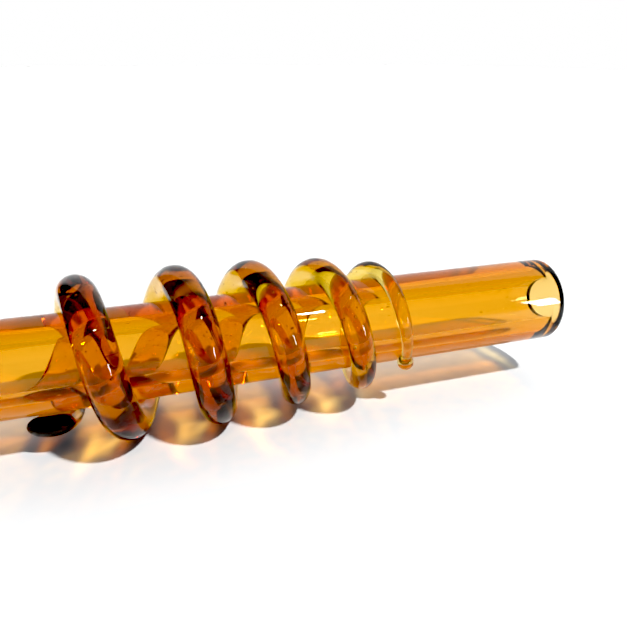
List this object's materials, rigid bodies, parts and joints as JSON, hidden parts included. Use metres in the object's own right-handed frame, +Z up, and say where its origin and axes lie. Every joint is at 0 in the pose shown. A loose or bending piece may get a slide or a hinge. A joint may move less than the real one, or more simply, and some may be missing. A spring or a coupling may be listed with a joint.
{
  "type": "glass dip pen",
  "caption": "Amber glass dip pen: thick-walled open-tailed tube barrel with a tapering glass rod wound round it, a collar and a twisted fluted nib.",
  "frame": {"origin": "on the barrel's axis, where the bore's straight wall ends just inside the open tail's rounded rim", "axes": "+X along the barrel, out of the open tail; the nib points to -X; +Z up as the pen lies on a table"},
  "size_m": [0.17, 0.0212, 0.0212],
  "materials": {
    "barrel_glass": "transparent honey-amber glass, fire-polished, with faint drawing lines along the tube",
    "wrap_glass": "the same glass as a solid rod, so it looks darker where it is thick, with small seed bubbles",
    "collar_glass": "solid amber glass, fire-polished",
    "nib_glass": "solid amber glass, twisted hot, with polished flutes"
  },
  "bodies": {
    "root": {"barrel_tube": "barrel_glass", "coil_wrap": "wrap_glass", "coil_end_bead": "wrap_glass", "nib_collar": "collar_glass", "nib": "nib_glass"}
  },
  "joints": []
}
